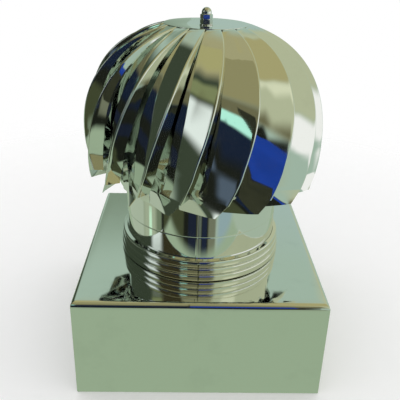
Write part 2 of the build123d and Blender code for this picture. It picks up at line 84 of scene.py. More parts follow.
FOOT_BOW_SHARE, FOOT_END_BOW, SLIT_TOP = 0.16, 1.0 * MM, 250 * MM
RIVET_RADIUS, RIVET_HEAD, RIVET_RISE = 1.6 * MM, 3.2 * MM, 1.2 * MM
RIVET_SEAT, RIVET_BACK, RIVET_TAIL = 0.02 * MM, 0.03 * MM, 0.8 * MM

CAP_SHEET, CAP_RADIUS, CAP_GAP = 0.8 * MM, 50.5 * MM, 0.05 * MM
CAP_CENTRE, CAP_DROP = 9 * MM, 2.15 * MM
SPINDLE_RADIUS, NUT_FLATS, NUT_FACE, NUT_SLOPE = 4 * MM, 13 * MM, 0.97, 30.0
TOP_WASHER_RADIUS, TOP_WASHER, TOP_NUT = 8 * MM, 1.2 * MM, 5.5 * MM
DOME_HEX, DOME_RADIUS, DOME_HEIGHT = 5.8 * MM, 5.9 * MM, 13.6 * MM

TIP_ANGLE = math.degrees(math.asin((TIP_RADIUS / HEAD_RADIUS) ** (CROWN_POWER / 2)))
CROWN_RISE = (CROWN_Z - EQUATOR_Z) / math.cos(math.radians(TIP_ANGLE)) ** (2 / CROWN_POWER)
FOOT_ANGLE = math.degrees(math.acos((FOOT_TOP - EQUATOR_Z) / LOWER_REACH))
END_ANGLE = math.degrees(math.acos((FOOT_OUTER - EQUATOR_Z) / LOWER_REACH))
TAB_FACE = RING_RADIUS + TAB_GAP + VANE_SHEET
TAB_REACH = math.hypot(TAB_FACE, TAB_WIDTH / 2)
RIVET_Z = (FOOT_TOP + RING_BOTTOM) / 2
CAP_TOP = CROWN_Z + CAP_GAP + CAP_SHEET
CAP_CENTRE_TOP = CAP_TOP - CAP_DROP

# Rows and columns of a vane's grid, and how far its folds reach to each side
FOLD_REACH = (0.6 * MM, 5 * MM, 1.3 * MM)
FOLD_COUNTS = (6, 9, 10, 5)
FOLD_STEPS, FOLD_LIMIT = 6, 0.45
TONGUE_ROWS, BLADE_ROWS, FOOT_ROWS, ROWS_OVER_SLIT = 5, 72, 13, 3

# Angles up to which a surface is shaded smooth
SHEET_SMOOTH, BOX_SMOOTH, ROUND_SMOOTH, NUT_SMOOTH = 40.0, 35.0, 50.0, 24.0

# Camera of the photograph
CAMERA_PLACE = (-18.1 * MM, -652.4 * MM, 509.6 * MM)
CAMERA_PITCH, CAMERA_YAW, CAMERA_ROLL = 23.7, 1.89, 1.88
IMAGE_SIZE, IMAGE_FOCAL, IMAGE_CENTRE, SENSOR = 400, 534.6, (204.1, 180.0), 36

# The room that reflections see: bearings and heights of each card, the softness of its edges, and
# its screen colour. Bearings count from the front, positive to the right
ROOM_CARDS = (
    # back
    ((-180, -160), (5, 29), 4, (134, 153, 132)),
    ((155, 180), (5, 29), 4, (172, 194, 184)),
    # right side: pale floor, wall, ceiling and window
    ((10, 150), (-100, -14), 4, (172, 190, 168)),
    ((15, 160), (12, 54), 4, (188, 194, 160)),
    ((36, 60), (34, 52), 4, (224, 228, 194)),
    ((15, 170), (54, 80), 3, (176, 170, 120)),
    ((45, 112), (-6, 12), 2.5, (255, 255, 250)),
    # left side: dark wall with a lit opening, olive ceiling, floor with a pale green strip
    ((-150, -58), (-18, 58), 6, (60, 70, 54)),
    ((-150, -58), (62, 78), 3, (176, 172, 118)),
    ((-160, -58), (-100, -18), 4, (116, 130, 104)),
    ((-160, -96), (-45, -18), 4, (176, 190, 166)),
    ((-96, -72), (-34, -20), 4, (168, 180, 152)),
    ((-85.5, -80), (-36, -26.5), 1, (206, 246, 210)),
    ((-80, -60), (6, 33), 4, (238, 248, 240)),
    ((-82, -58), (37, 50), 3, (130, 139, 96)),
    # front: olive ceiling, dark wall, dark floor beyond the stand
    ((-60, 20), (38, 100), 6, (150, 146, 104)),
    ((-62, -26), (12, 50), 5, (58, 54, 34)),
    ((-26, 20), (12, 40), 4, (112, 110, 80)),
    ((-62, 14), (-100, 14), 2, (30, 33, 26)),
    ((-36, 4), (-10, 22), 4, (24, 35, 54)),
    ((-58, -26), (-46, -21), 2, (68, 74, 50)),
    # front, low: narrow strips that the neck mirrors
    ((-19, -5), (-34, -24), 1, (30, 37, 52)),
    ((-4, 1), (-34, -24), 0.8, (96, 106, 92)),
    ((2, 9), (-34, -24), 1, (32, 40, 58)),
    ((11, 22), (-40, -21), 2, (118, 123, 100)),
    ((25, 46), (-40, -21), 4, (151, 175, 177)),
    # front: bright spots that single vanes mirror
    ((-56, -43), (-14, -2), 2.5, (84, 98, 112)),
    ((-27, -17), (17, 27), 1.5, (190, 255, 232)),
)


# Meshes


def grid_faces(rows, columns, close_rows=False, close_columns=False, keep=None):
    """Corner numbers of the squares of a grid, row by row, with the seams closed where asked."""
    last_row = rows if close_rows else rows - 1
    last_column = columns if close_columns else columns - 1
    i, j = np.meshgrid(np.arange(last_row), np.arange(last_column), indexing="ij")
    down, right = (i + 1) % rows, (j + 1) % columns
    corners = [i * columns + j, i * columns + right, down * columns + right, down * columns + j]
    faces = np.stack(corners, axis=-1).reshape(-1, 4)
    return faces if keep is None else faces[keep.reshape(-1)]


def mesh_piece(name, points, faces, smooth_under=SHEET_SMOOTH):
    """A mesh object with smooth shading, broken where the surface turns more sharply."""
    used, index = np.unique(faces, return_inverse=True)
    mesh = bpy.data.meshes.new(name)
    mesh.from_pydata(points.reshape(-1, 3)[used].tolist(), [], index.reshape(faces.shape).tolist())
    mesh.validate()
    mesh.shade_smooth()
    mesh.set_sharp_from_angle(angle=math.radians(smooth_under))
    piece = bpy.data.objects.new(name, mesh)
    bpy.context.scene.collection.objects.link(piece)
    return piece


def thickened(piece, thickness):
    """Gives an open surface its sheet thickness inwards and keeps the result as its mesh."""
    modifier = piece.modifiers.new("sheet", "SOLIDIFY")
    modifier.thickness = thickness
    modifier.offset = -1
    modifier.use_even_offset = True
    bpy.context.view_layer.update()
    shown = piece.evaluated_get(bpy.context.evaluated_depsgraph_get())
    solid = bpy.data.meshes.new_from_object(shown)
    piece.modifiers.clear()
    old = piece.data
    piece.data = solid
    solid.name = old.name
    bpy.data.meshes.remove(old)
    solid.shade_smooth()
    solid.set_sharp_from_angle(angle=math.radians(SHEET_SMOOTH))


def rounded(corners, steps):
    """A closed outline through (x, y, reach) corners.

    Each corner is the curve s (1 - t)^2 + 2 p t (1 - t) + e t^2 from s to e, a reach before and
    after its point p.
    """
    corner = np.array(corners, float)
    point, reach = corner[:, :2], corner[:, 2:]
    back = np.roll(point, 1, axis=0) - point
    ahead = np.roll(point, -1, axis=0) - point
    start = point + back / np.linalg.norm(back, axis=1, keepdims=True) * reach
    end = point + ahead / np.linalg.norm(ahead, axis=1, keepdims=True) * reach
    t = np.linspace(0, 1, steps)[:, None, None]
    curve = start * (1 - t) ** 2 + 2 * point * t * (1 - t) + end * t**2
    return curve.transpose(1, 0, 2).reshape(-1, 2)


def turned(profile, azimuths):
    """A profile of radius and height carried round the spindle: x = r sin a, y = -r cos a."""
    a = np.radians(azimuths)[:, None]
    r, z = profile[None, :, 0], profile[None, :, 1]
    return np.stack([r * np.sin(a), -r * np.cos(a), z + 0 * a], axis=-1)


def lathe(name, profile, segments):
    """A closed profile, listed upwards on its outer side, turned once round the spindle."""
    points = turned(profile, np.arange(segments) * 360 / segments)
    faces = grid_faces(segments, len(profile), close_rows=True, close_columns=True)
    return mesh_piece(name, points, faces[:, ::-1], ROUND_SMOOTH)


# Vanes


def crease(angle):
    """Radius and height of a vane's crease at an angle t from the top, p the crown's power.

    Above the equator r = R sin(t)^(2/p), z = E + C cos(t)^(2/p), a superellipse. Below it
    r = R sin(t), z = E + L cos(t), an ellipse.
    """
    turn = np.radians(angle)
    power = 2 / CROWN_POWER
    high = angle <= 90
    cosine = np.clip(np.cos(turn), 0, 1)
    radius = HEAD_RADIUS * np.where(high, np.sin(turn) ** power, np.sin(turn))
    height = EQUATOR_Z + np.where(high, CROWN_RISE * cosine**power, LOWER_REACH * np.cos(turn))
    return radius, height


def sweep(angle):
    """How far the crease has swung back, in degrees, at a share s of the way from tip to end.

    A cubic curve with the controls a, b and c of SWEEP: -(3 s (1-s)^2 a + 3 s^2 (1-s) b + s^3 c).
    """
    share = (angle - TIP_ANGLE) / (END_ANGLE - TIP_ANGLE)
    rest = 1 - share
    return -(3 * share * rest**2 * SWEEP[0] + 3 * share**2 * rest * SWEEP[1] + share**3 * SWEEP[2])


def crease_frame(angle):
    """Origin, tangent and outward normal of the section across a vane at each angle.

    The normal is the gradient of the superellipse (r/R)^p + ((z - E)/C)^p, level below the equator.
    """
    radius, height = crease(angle)
    azimuth = np.radians(FRONT_AZIMUTH + sweep(angle))
    outward = np.where(angle < 90, (radius / HEAD_RADIUS) ** (CROWN_POWER - 1) / HEAD_RADIUS, 1.0)
    climb = np.clip((height - EQUATOR_Z) / CROWN_RISE, 0, None) ** (CROWN_POWER - 1) / CROWN_RISE
    upward = np.where(angle < 90, climb, 0.0)
    length = np.hypot(outward, upward)
    outward, upward = outward / length, upward / length
    sine, cosine = np.sin(azimuth), np.cos(azimuth)
    origin = np.stack([radius * sine, -radius * cosine, height], axis=-1)
    tangent = np.stack([cosine, sine, 0 * sine], axis=-1)
    normal = np.stack([outward * sine, -outward * cosine, upward], axis=-1)
    return origin, tangent, normal


def foot_points():
    """Tab end and slit at the top of a foot, in the frame of the crease there."""
    radius = float(crease(np.array(FOOT_ANGLE))[0])
    slit = math.radians(SLIT_AZIMUTH)
    end = slit + TAB_WIDTH / TAB_REACH
    return (
        np.array([-TAB_REACH * math.sin(end), TAB_REACH * math.cos(end) - radius]),
        np.array([-TAB_REACH * math.sin(slit), TAB_REACH * math.cos(slit) - radius]),
    )


def face_points(lean, width, blend):
    """Tab end, slit, bow and crease of a vane's face for a lean, a width and a share of the foot.

    Each point is blade (1 - blend) + foot blend. The bow stands off the line from crease to slit.
    """
    lean, width, blend = (np.asarray(value, float)[..., None] for value in (lean, width, blend))
    face = np.concatenate([-np.cos(np.radians(lean)), -np.sin(np.radians(lean))], axis=-1)
    bent = np.radians(lean + TAB_BEND)
    slit = face * width * (1 - TAB_SHARE)
    end = slit + np.concatenate([-np.cos(bent), -np.sin(bent)], axis=-1) * width * TAB_SHARE
    foot_end, foot_slit = foot_points()
    end = end * (1 - blend) + foot_end * blend
    slit = slit * (1 - blend) + foot_slit * blend
    rise = BOW * width * (1 - blend) + FOOT_BOW * blend
    along = slit / np.linalg.norm(slit, axis=-1, keepdims=True)
    bow = slit * BOW_SHARE + np.stack([along[..., 1], -along[..., 0]], axis=-1) * rise
    return [end, slit, bow, 0 * slit]


def blade_points(angle):
    """Corner points across a vane at each angle, in space: tab end, slit, bow, crease, flange edge.

    Lean, width and flange grow as powers of the share of the way from the tip to the equator.
    """
    share = np.clip((angle - TIP_ANGLE) / (90 - TIP_ANGLE), 0, 1)
    lean = TIP_LEAN + (VANE_LEAN - TIP_LEAN) * share**LEAN_POWER
    width = TIP_WIDTH + (VANE_WIDTH - TIP_WIDTH) * share**WIDTH_POWER
    height = crease(angle)[1]
    blend = np.where(angle > 90, (EQUATOR_Z - height) / (EQUATOR_Z - FOOT_TOP), 0)
    growth = np.clip(share / FLANGE_SHARE, 0, 1) ** FLANGE_GROWTH
    depth = TIP_FLANGE + (VANE_FLANGE - TIP_FLANGE) * growth
    turn = math.radians(FLANGE_LEAN)
    edge = depth[:, None] * np.array([math.sin(turn), -math.cos(turn)])
    origin, tangent, normal = crease_frame(angle)
    local = np.stack(face_points(lean, width, blend) + [edge], axis=1)
    return (
        origin[:, None]
        + local[..., :1] * tangent[:, None]
        + local[..., 1:] * normal[:, None]
    )


def root_points():
    """The same corner points at the inner end of a vane's tongue, on the crown."""
    azimuth = math.radians(FRONT_AZIMUTH)
    tangent = np.array([math.cos(azimuth), math.sin(azimuth), 0])
    origin = np.array([
        ROOT_RADIUS * math.sin(azimuth),
        -ROOT_RADIUS * math.cos(azimuth),
        CROWN_Z - ROOT_DROP,
    ])
    turn = math.radians(FLANGE_LEAN)
    edge = TIP_FLANGE * np.array([math.sin(turn), -math.cos(turn)])
    local = np.stack(face_points(0.0, ROOT_WIDTH, 0.0) + [edge])
    return origin + local[:, :1] * tangent + local[:, 1:] * np.array([0, 0, 1])


def foot_edge_points():
    """Tab end, slit, bow and outer corner on a vane's lower edge, which rises outwards."""
    origin, tangent, normal = crease_frame(np.array([FOOT_ANGLE]))
    end, slit = (origin[0] + p[0] * tangent[0] + p[1] * normal[0] for p in foot_points())
    end, slit = np.array([*end[:2], RING_BOTTOM]), np.array([*slit[:2], RING_BOTTOM])
    azimuth = math.radians(FRONT_AZIMUTH + float(sweep(END_ANGLE)) - CORNER_CUT)
    radius = float(crease(np.array(END_ANGLE))[0])
    corner = np.array([radius * math.sin(azimuth), -radius * math.cos(azimuth), FOOT_OUTER])
    level = (corner - slit) * np.array([1, 1, 0])
    level = level / np.linalg.norm(level)
    across = np.array([level[1], -level[0], 0])
    bow = slit + (corner - slit) * (1 - FOOT_BOW_SHARE) + across * FOOT_END_BOW
    return np.stack([end, slit, bow, corner])


def without_flange(points):
    """Rows of four corner points and a fifth straight on beyond the crease, for the flange's."""
    return np.concatenate([points[:, :4], points[:, 3:4] * 2 - points[:, 2:3]], axis=1)


def across_sheet(corners, reaches):
    """Carries each row of corner points into a row of samples with its inner corners rounded.

    Lines a (1 - t) + b t run between the folds, and each fold is the curve of `rounded`.
    """
    columns = []
    last = corners.shape[1] - 1
    start = corners[:, 0]
    for number in range(1, last):
        point = corners[:, number]
        back, ahead = start - point, corners[:, number + 1] - point
        back_length = np.linalg.norm(back, axis=-1, keepdims=True)
        ahead_length = np.maximum(np.linalg.norm(ahead, axis=-1, keepdims=True), 1e-9)
        limit = FOLD_LIMIT * np.minimum(back_length, ahead_length)
        reach = np.minimum(reaches[number - 1], limit)
        enter, leave = point + back / back_length * reach, point + ahead / ahead_length * reach
        t = np.linspace(0, 1, FOLD_COUNTS[number - 1], endpoint=False)[None, :, None]
        columns.append(start[:, None] * (1 - t) + enter[:, None] * t)
        t = np.linspace(0, 1, FOLD_STEPS, endpoint=False)[None, :, None]
        middle = 2 * point[:, None] * t * (1 - t)
        columns.append(enter[:, None] * (1 - t) ** 2 + middle + leave[:, None] * t**2)
        start = leave
    t = np.linspace(0, 1, FOLD_COUNTS[last - 1])[None, :, None]
    columns.append(start[:, None] * (1 - t) + corners[:, last, None] * t)
    return np.concatenate(columns, axis=1)


def vane_surface():
    """Grid of one vane's outer face and a mask of its squares: tongue, swept blade, slit foot.

    The tongue and the foot run in straight lines a (1 - t) + b t to the blade's first and last row.
    """
    spread = np.linspace(0, 1, BLADE_ROWS)
    blade = blade_points(TIP_ANGLE + (FOOT_ANGLE - TIP_ANGLE) * spread)
    t = np.linspace(0, 1, TONGUE_ROWS, endpoint=False)[:, None, None]
    tongue = root_points() * (1 - t) + blade[:1] * t
    slit_share = (FOOT_TOP - SLIT_TOP) / (FOOT_TOP - RING_BOTTOM)
    over_slit = np.linspace(0, slit_share, ROWS_OVER_SLIT + 1)[1:]
    beside_slit = np.linspace(slit_share, 1, FOOT_ROWS - ROWS_OVER_SLIT)[1:]
    low = np.concatenate([over_slit, beside_slit])[:, None, None]
    top, edge = without_flange(blade[-1:]), without_flange(foot_edge_points()[None])
    foot = top * (1 - low) + edge * low
    upper = across_sheet(np.concatenate([tongue, blade]), FOLD_REACH)
    lower = across_sheet(foot, (FOLD_REACH[0], FOLD_REACH[1], 0.0))
    points = np.concatenate([upper, lower])
    keep = np.ones((points.shape[0] - 1, points.shape[1] - 1), bool)
    slit_columns = slice(FOLD_COUNTS[0], FOLD_COUNTS[0] + FOLD_STEPS)
    flange_start = sum(FOLD_COUNTS[:3]) + 2 * FOLD_STEPS
    first_foot = TONGUE_ROWS + BLADE_ROWS - 1
    keep[first_foot:, flange_start:] = False
    keep[first_foot + ROWS_OVER_SLIT:, slit_columns] = False
    return points, keep


def spun(points, azimuth):
    """Points turned about the spindle by a: (x cos a - y sin a, x sin a + y cos a, z)."""
    a = math.radians(azimuth)
    turn = np.array([[math.cos(a), -math.sin(a), 0], [math.sin(a), math.cos(a), 0], [0, 0, 1]])
    return points @ turn.T


def make_vanes():
    """Eighteen vane sheets, each in place of its solid."""
    points, keep = vane_surface()
    faces = grid_faces(*points.shape[:2], keep=keep)
    made = []
    for number in range(VANES):
        placed = spun(points, 360 / VANES * number)
        piece = mesh_piece(f"vane_sheet_{number + 1:02d}", placed, faces)
        thickened(piece, VANE_SHEET)
        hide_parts(f"vane_{number + 1:02d}")
        made.append(piece)
    return made


# Base, neck and crown


def box_profile():
    """Sheet profile of the skirt: rows of inset, height and share of the way in to the hole."""
    bend = np.radians(np.linspace(0, 90, 9))
    level = 0 * bend
    across, up = 1 - np.cos(bend), 1 - np.sin(bend)
    outer_bend = np.stack([BOX_FOLD * across, BOX_TOP - BOX_FOLD * up, level], axis=1)
    fold = BOX_FOLD - BOX_SHEET
    inner = [BOX_SHEET + fold * across, BOX_TOP - BOX_SHEET - fold * up, level]
    inner_bend = np.stack(inner, axis=1)[::-1]
    inward = np.linspace(0, 1, 7)
    plate = np.stack([0 * inward + BOX_FOLD, 0 * inward + BOX_TOP, inward], axis=1)[1:]
    under = (plate - np.array([0, BOX_SHEET, 0]))[::-1]
    rise = np.linspace(0.5 * MM, BOX_TOP - BOX_FOLD, 8)[:-1]
    skirt = np.stack([0 * rise, rise, 0 * rise], axis=1)
    # inside of the skirt, down to the hem that is folded inwards, and its rounded lower edge
    hem = np.array([
        [BOX_SHEET, BOX_TOP / 2, 0],
        [BOX_SHEET, BOX_HEM, 0],
        [2 * BOX_SHEET, BOX_HEM, 0],
        [2 * BOX_SHEET, BOX_HEM / 2, 0],
        [2 * BOX_SHEET, 0.7 * MM, 0],
        [1.8 * BOX_SHEET, 0.2 * MM, 0],
        [1.5 * BOX_SHEET, 0, 0],
        [0.5 * BOX_SHEET, 0, 0],
        [0.15 * BOX_SHEET, 0.15 * MM, 0],
    ])
    return np.concatenate([skirt, outer_bend, plate, under, inner_bend, hem])


def square_path():
    """Way round a square of half width 1, front first, with the offsets of a corner of radius 1."""
    steps = np.linspace(-1, 1, 25)[1:-1]
    level = 0 * steps
    turn = np.radians(np.linspace(0, 90, 7))
    straight = np.stack([steps, level - 1, level, level], axis=1)
    ones = 0 * turn + 1
    corner = np.stack([ones, -ones, np.sin(turn) - 1, 1 - np.cos(turn)], axis=1)
    run = np.concatenate([straight, corner])
    ahead = []
    for quarter in range(4):
        a = quarter * math.pi / 2
        spin = np.array([[math.cos(a), -math.sin(a)], [math.sin(a), math.cos(a)]])
        ahead.append(np.concatenate([run[:, :2] @ spin.T, run[:, 2:] @ spin.T], axis=1))
    return np.concatenate(ahead)


def make_box():
    """Box skirt: its profile carried round a rounded square, the plate drawn in to the round hole.

    Each point is square (1 - share) + circle share, the circle's point at the square's bearing.
    """
    profile, path = box_profile(), square_path()
    half = BOX_HALF - profile[:, 0]
    square = path[:, None, :2] * half[None, :, None] + path[:, None, 2:] * BOX_CORNER
    bearing = np.arctan2(square[..., 0], -square[..., 1])
    circle = np.stack([PLATE_HOLE * np.sin(bearing), -PLATE_HOLE * np.cos(bearing)], axis=-1)
    share = profile[None, :, 2:]
    flat = square * (1 - share) + circle * share
    heights = np.broadcast_to(profile[None, :, 1:2], flat.shape[:2] + (1,))
    points = np.concatenate([flat, heights], axis=-1)
    faces = grid_faces(len(path), len(profile), close_rows=True, close_columns=True)
    return mesh_piece("box_skirt", points, faces[:, ::-1], BOX_SMOOTH)


def make_collar():
    """Beaded collar: three beads over a tube and a flange.

    Each bead is a superellipse of power p, a round bead with a flattened face:
    r = c + b cos(s)^(2/p), z = h + b sin(s)^(2/p).
    """
    swing = np.radians(np.linspace(-BEAD_SPAN, BEAD_SPAN, BEAD_STEPS))
    out = np.cos(swing) ** (2 / BEAD_POWER)
    along = np.sign(swing) * np.abs(np.sin(swing)) ** (2 / BEAD_POWER)
    beads_out, beads_in = [], []
    for number, peak in enumerate(BEAD_PEAKS):
        centre, height = peak - BEAD_RADIUS, BEAD_FIRST + BEAD_PITCH * number
        for radius, store in ((BEAD_RADIUS, beads_out), (BEAD_RADIUS - COLLAR_SHEET, beads_in)):
            store.append(np.stack([centre + radius * out, height + radius * along], axis=1))
    outer_wall, foot = COLLAR_INNER + COLLAR_SHEET, BOX_TOP - BOX_SHEET
    top = beads_out[-1][-1, 1] + 0.9 * MM
    rim = np.array([
        [outer_wall, top],
        [COLLAR_INNER + 0.2 * MM, top + 0.1 * MM],
        [COLLAR_INNER, top - 0.2 * MM],
    ])
    flange_edge = COLLAR_INNER + COLLAR_FLANGE + COLLAR_SHEET
    flange = np.array([
        [COLLAR_INNER, foot - BOX_SHEET],
        [flange_edge, foot - BOX_SHEET],
        [flange_edge, foot],
        [outer_wall + 0.4 * MM, foot],
        [outer_wall, foot + 0.4 * MM],
    ])
    profile = np.concatenate([flange, *beads_out, rim, *[b[::-1] for b in beads_in[::-1]]])
    return lathe("beaded_collar", profile, 240)


def make_neck():
    """Neck tube: a plain wall with a lip, a fine lap line round it and a welded seam up its front.

    The weld swells the wall by w exp(-(d / e)^2) at d degrees from its middle.
    """
    groove, width = 0.25 * MM, 0.5 * MM
    weld_rise, weld_spread, weld_reach, weld_gap = 0.28 * MM, 0.55, 2.4, 0.2
    inner = NECK_RADIUS - NECK_SHEET
    outer = np.array([
        [SPIGOT_RADIUS, NECK_FOOT],
        [SPIGOT_RADIUS, SPIGOT_TOP],
        [NECK_RADIUS, SPIGOT_TOP + SPIGOT_TAPER],
        [NECK_RADIUS, (SPIGOT_TOP + NECK_SEAM_Z) / 2],
        [NECK_RADIUS, NECK_SEAM_Z - 2 * width],
        [NECK_RADIUS, NECK_SEAM_Z - width],
        [NECK_RADIUS - groove, NECK_SEAM_Z],
        [NECK_RADIUS - 0.3 * groove, NECK_SEAM_Z + width],
        [NECK_RADIUS - 0.3 * groove, NECK_SEAM_Z + 2 * width],
        [NECK_RADIUS - 0.3 * groove, (NECK_TOP + NECK_SEAM_Z) / 2],
        [NECK_RADIUS, NECK_TOP - 1 * MM],
        [NECK_RADIUS - 0.25 * MM, NECK_TOP - 0.3 * MM],
        [NECK_RADIUS - 0.8 * MM, NECK_TOP],
        [NECK_RADIUS - NECK_LIP, NECK_TOP],
        [NECK_RADIUS - NECK_LIP, NECK_TOP - NECK_SHEET],
        [inner, NECK_TOP - NECK_SHEET],
        [inner, (NECK_TOP + SPIGOT_TOP) / 2],
        [inner, SPIGOT_TOP + SPIGOT_TAPER],
        [SPIGOT_RADIUS - NECK_SHEET, SPIGOT_TOP],
        [SPIGOT_RADIUS - NECK_SHEET, NECK_FOOT],
    ])
    plain = np.arange(240) * 1.5 - 180
    fine = NECK_WELD + np.linspace(-weld_reach, weld_reach, 25)
    before, after = plain[plain < fine[0] - weld_gap], plain[plain > fine[-1] + weld_gap]
    azimuths = np.concatenate([before, fine, after])
    points = turned(outer, azimuths)
    weld = weld_rise * np.exp(-(((azimuths - NECK_WELD) / weld_spread) ** 2))
    radius, height = outer[:, 0], outer[:, 1]
    outside = (radius > inner + 0.2 * MM) & (height > SPIGOT_TOP) & (height < NECK_TOP - 0.5 * MM)
    swell = 1 + weld[:, None] / NECK_RADIUS * outside[None, :]
    points[..., :2] *= swell[..., None]
    faces = grid_faces(len(azimuths), len(outer), close_rows=True, close_columns=True)
    return mesh_piece("neck_wall", points, faces[:, ::-1], ROUND_SMOOTH)


def make_ring():
    """Bottom ring: a flat band with its edges just eased."""
    ease = 0.15 * MM
    low, high, inner = RING_BOTTOM, FOOT_TOP, RING_RADIUS - RING_SHEET
    profile = rounded([
        (inner, low, ease), (RING_RADIUS, low, ease),
        (RING_RADIUS, high, ease), (inner, high, ease),
    ], 3)
    return lathe("ring_band", profile, 216)


def make_cap():
    """Crown cap: a thin dished disc from the spindle to its eased outer edge."""
    ease, dish = 0.25 * MM, 2 * MM
    profile = rounded([
        (SPINDLE_RADIUS, CAP_CENTRE_TOP - CAP_SHEET, ease),
        (CAP_CENTRE, CAP_CENTRE_TOP - CAP_SHEET, dish),
        (CAP_RADIUS, CAP_TOP - CAP_SHEET, ease),
        (CAP_RADIUS, CAP_TOP, ease),
        (CAP_CENTRE, CAP_CENTRE_TOP, dish),
        (SPINDLE_RADIUS, CAP_CENTRE_TOP, ease),
    ], 5)
    return lathe("cap_disc", profile, 180)


# Fasteners


def hex_rows(bottom, height):
    """Azimuths, radii and heights of a hexagon nut's wall, cut by a cone at each end.

    At an azimuth a from the middle of a flat the wall's radius is w = flats / 2 / cos a, and the
    cones take (w - face) tan(slope) off its ends.
    """
    azimuths = np.arange(72) * 5.0
    to_flat = np.radians((azimuths + 30) % 60 - 30)
    wall = NUT_FLATS / 2 / np.cos(to_flat)
    face = NUT_FACE * NUT_FLATS / 2
    cut = (wall - face) * math.tan(math.radians(NUT_SLOPE))
    top = bottom + height
    ends = [(SPINDLE_RADIUS, bottom), (face, bottom)]
    return azimuths, ends + [(wall, bottom + cut), (wall, top - cut), (face, top)]


def nut_piece(name, azimuths, rows):
    """A nut's rows of radius and height carried round the spindle: x = r sin a, y = -r cos a."""
    a = np.radians(azimuths)
    level = 0 * a
    radius = np.stack([row[0] + level for row in rows], axis=1)
    height = np.stack([row[1] + level for row in rows], axis=1)
    points = np.stack([radius * np.sin(a)[:, None], -radius * np.cos(a)[:, None], height], axis=-1)
    faces = grid_faces(len(azimuths), len(rows), close_rows=True, close_columns=True)
    return mesh_piece(name, points, faces[:, ::-1], NUT_SMOOTH)


def make_top_nut():
    """Plain hexagon nut under the acorn nut."""
    bottom = CAP_CENTRE_TOP + TOP_WASHER
    azimuths, rows = hex_rows(bottom, TOP_NUT)
    rows.append((SPINDLE_RADIUS, bottom + TOP_NUT))
    return nut_piece("plain_nut", azimuths, rows)


def make_acorn():
    """Acorn nut: hexagon, short waist and a round dome, bored blind from below.

    The dome is r = R cos t, z = c + R sin t.
    """
    bottom = CAP_CENTRE_TOP + TOP_WASHER + TOP_NUT
    shoulder, centre = bottom + DOME_HEX, bottom + DOME_HEIGHT - DOME_RADIUS
    pole, roof = 0.02 * MM, centre + 0.3 * MM
    azimuths, rows = hex_rows(bottom, DOME_HEX)
    rows.append((DOME_RADIUS + 0.25 * MM, shoulder + 0.05 * MM))
    rows.append((DOME_RADIUS, shoulder + 0.4 * MM))
    for lift in np.radians(np.linspace(0, 88, 14)):
        rows.append((DOME_RADIUS * math.cos(lift), centre + DOME_RADIUS * math.sin(lift)))
    rows += [(pole, bottom + DOME_HEIGHT), (pole, roof), (SPINDLE_RADIUS, roof)]
    return nut_piece("dome_nut", azimuths, rows)


def make_washer():
    """Flat washer under the nuts, its edges eased."""
    low, high = CAP_CENTRE_TOP, CAP_CENTRE_TOP + TOP_WASHER
    ease = 0.25 * MM
    profile = rounded([
        (SPINDLE_RADIUS, low, ease), (TOP_WASHER_RADIUS, low, ease),
        (TOP_WASHER_RADIUS, high, ease), (SPINDLE_RADIUS, high, ease),
    ], 4)
    return lathe("flat_washer", profile, 72)


def make_rivets():
    """Domed rivets through the vanes' tabs and the ring: one profile about its own axis, spun.

    The dome is w = h cos t wide at s + d sin t along the axis, s the tab's face.
    """
    slit_line = FRONT_AZIMUTH + float(sweep(np.array(FOOT_ANGLE))) - SLIT_AZIMUTH
    rivet_line = slit_line - math.degrees(math.asin(TAB_WIDTH / 2 / TAB_REACH))
    seat, tail_seat = TAB_FACE + RIVET_SEAT, RING_RADIUS - RING_SHEET - RIVET_BACK
    dome = np.radians(np.linspace(8, 88, 7))
    tail = tail_seat - RIVET_TAIL
    reach = np.concatenate([
        [tail, tail, tail_seat, tail_seat, seat, seat],
        seat + RIVET_RISE * np.sin(dome),
    ])
    wide = 1.5 * RIVET_RADIUS
    width = np.concatenate([
        [0.01 * MM, wide, wide, RIVET_RADIUS, RIVET_RADIUS, RIVET_HEAD],
        RIVET_HEAD * np.cos(dome),
    ])
    sides = 20
    a = np.radians(np.arange(sides) * 360 / sides)[:, None]
    local = np.stack([width * np.cos(a), -(reach + 0 * a), width * np.sin(a) + RIVET_Z], axis=-1)
    faces = grid_faces(sides, len(reach), close_rows=True, close_columns=True)
    numbers = range(VANES)
    spread = [spun(local.reshape(-1, 3), rivet_line + 360 / VANES * number) for number in numbers]
    faces = np.concatenate([faces + sides * len(reach) * number for number in numbers])
    return mesh_piece("vane_rivet_domes", np.concatenate(spread), faces, ROUND_SMOOTH)


# Shader building


class Term:
    """A shader socket that takes part in sums: each operator adds one Math node."""

    def __init__(self, nodes, socket):
        self.nodes, self.socket = nodes, socket

    def combine(self, operation, first, second):
        """The term that a Math node makes of two terms or numbers."""
        return self.nodes.add("ShaderNodeMath", {"operation": operation}, {0: first, 1: second})[0]

    def __add__(self, other):
        return self.combine("ADD", self, other)

    def __rsub__(self, other):
        return self.combine("SUBTRACT", other, self)

    def __mul__(self, other):
        return self.combine("MULTIPLY", self, other)

    __radd__, __rmul__ = __add__, __mul__


